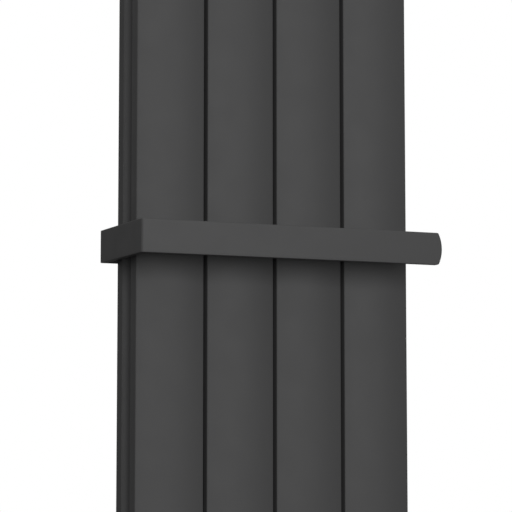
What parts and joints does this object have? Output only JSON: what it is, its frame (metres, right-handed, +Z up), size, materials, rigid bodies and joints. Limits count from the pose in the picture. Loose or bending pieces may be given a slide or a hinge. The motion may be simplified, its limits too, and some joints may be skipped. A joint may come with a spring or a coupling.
{
  "type": "vertical radiator",
  "caption": "Tall vertical column radiator with a wrap-round flat towel rail, hooked wall brackets, a thermostatic valve and a lockshield valve.",
  "frame": {"origin": "on the wall plane, centred across the width, level with the underside of the bottom heads", "axes": "+Z up along the sections, +Y into the wall, the front faces -Y"},
  "size_m": [0.4095, 0.173, 1.864],
  "materials": {
    "radiator_coat": "matt anthracite powder coat on aluminium",
    "rail_coat": "matt anthracite powder coat on aluminium",
    "fitting_coat": "matt anthracite coat on brass",
    "plated_steel": "zinc plated",
    "nickel": "satin nickel plate",
    "bare_brass": "turned brass",
    "fibre_gasket": "vulcanised fibre",
    "black_rubber": "matt",
    "head_plastic": "fine textured anthracite plastic",
    "sensor_capsule": "smooth"
  },
  "bodies": {
    "radiator": {"section_1": "radiator_coat", "section_2": "radiator_coat", "section_3": "radiator_coat", "section_4": "radiator_coat", "bottom_head_1": "radiator_coat", "bottom_head_2": "radiator_coat", "bottom_head_3": "radiator_coat", "bottom_head_4": "radiator_coat", "top_head_1": "radiator_coat", "top_head_2": "radiator_coat", "top_head_3": "radiator_coat", "top_head_4": "radiator_coat", "towel_rail": "rail_coat", "bottom_left_plug": "fitting_coat", "bottom_right_plug": "fitting_coat", "top_right_plug": "fitting_coat", "vent_plug": "fitting_coat", "bottom_nipple_1": "plated_steel", "bottom_nipple_2": "plated_steel", "bottom_nipple_3": "plated_steel", "top_nipple_1": "plated_steel", "top_nipple_2": "plated_steel", "top_nipple_3": "plated_steel", "bottom_gasket_1": "fibre_gasket", "bottom_gasket_2": "fibre_gasket", "bottom_gasket_3": "fibre_gasket", "top_gasket_1": "fibre_gasket", "top_gasket_2": "fibre_gasket", "top_gasket_3": "fibre_gasket", "upper_left_bracket": "plated_steel", "upper_right_bracket": "plated_steel", "lower_left_bracket": "plated_steel", "lower_right_bracket": "plated_steel", "rail_clamp_nut_1": "plated_steel", "rail_clamp_nut_2": "plated_steel", "rail_screw_1": "plated_steel", "rail_screw_2": "plated_steel", "rail_pad": "black_rubber", "thermostat_body": "fitting_coat", "thermostat_union_nut": "fitting_coat", "thermostat_compression_nut": "fitting_coat", "thermostat_tail": "nickel", "thermostat_olive": "bare_brass", "lockshield_body": "fitting_coat", "lockshield_union_nut": "fitting_coat", "lockshield_compression_nut": "fitting_coat", "lockshield_tail": "nickel", "lockshield_olive": "bare_brass", "thermostat_insert": "bare_brass", "thermostat_spring": "plated_steel", "thermostat_ring_nut": "nickel", "thermostat_head_base": "head_plastic", "lockshield_bonnet": "bare_brass"},
    "handwheel": {"thermostat_handwheel": "head_plastic"},
    "sensor": {"thermostat_sensor": "sensor_capsule"},
    "valve_pin": {"thermostat_pin": "plated_steel"},
    "lockshield_cap": {"lockshield_cap": "head_plastic"},
    "lockshield_spindle": {"lockshield_spindle": "bare_brass"},
    "lockshield_cone": {"lockshield_cone": "bare_brass"},
    "vent_screw": {"vent_screw": "nickel"}
  },
  "joints": [
    {"name": "thermostat_turn", "type": "hinge", "parent": "radiator", "child": "handwheel", "pos_m": [-0.1425, -0.136, -0.04], "axis": [0, -1, 0], "range_deg": [0, 300]},
    {"name": "sensor_travel", "type": "slide", "parent": "radiator", "child": "sensor", "axis": [0, -1, 0], "range_m": [0, 0.0026]},
    {"name": "pin_travel", "type": "slide", "parent": "radiator", "child": "valve_pin", "axis": [0, -1, 0], "range_m": [0, 0.0026]},
    {"name": "lockshield_cap_pull", "type": "slide", "parent": "radiator", "child": "lockshield_cap", "axis": [0, -1, 0], "range_m": [0, 0.03]},
    {"name": "lockshield_turn", "type": "hinge", "parent": "radiator", "child": "lockshield_spindle", "pos_m": [0.1425, -0.086, -0.04], "axis": [0, -1, 0], "range_deg": [0, 720]},
    {"name": "cone_travel", "type": "slide", "parent": "radiator", "child": "lockshield_cone", "axis": [0, -1, 0], "range_m": [0, 0.003]},
    {"name": "vent_turn", "type": "hinge", "parent": "radiator", "child": "vent_screw", "pos_m": [-0.1895, -0.066, 1.775], "axis": [-1, 0, 0], "range_deg": [0, 360]}
  ],
  "couplings": [
    {"joint": "sensor_travel", "follows": "thermostat_turn", "m_per_rad": 0.000496},
    {"joint": "pin_travel", "follows": "thermostat_turn", "m_per_rad": 0.000496},
    {"joint": "lockshield_turn", "follows": "cone_travel", "rad_per_m": 4188.8}
  ]
}
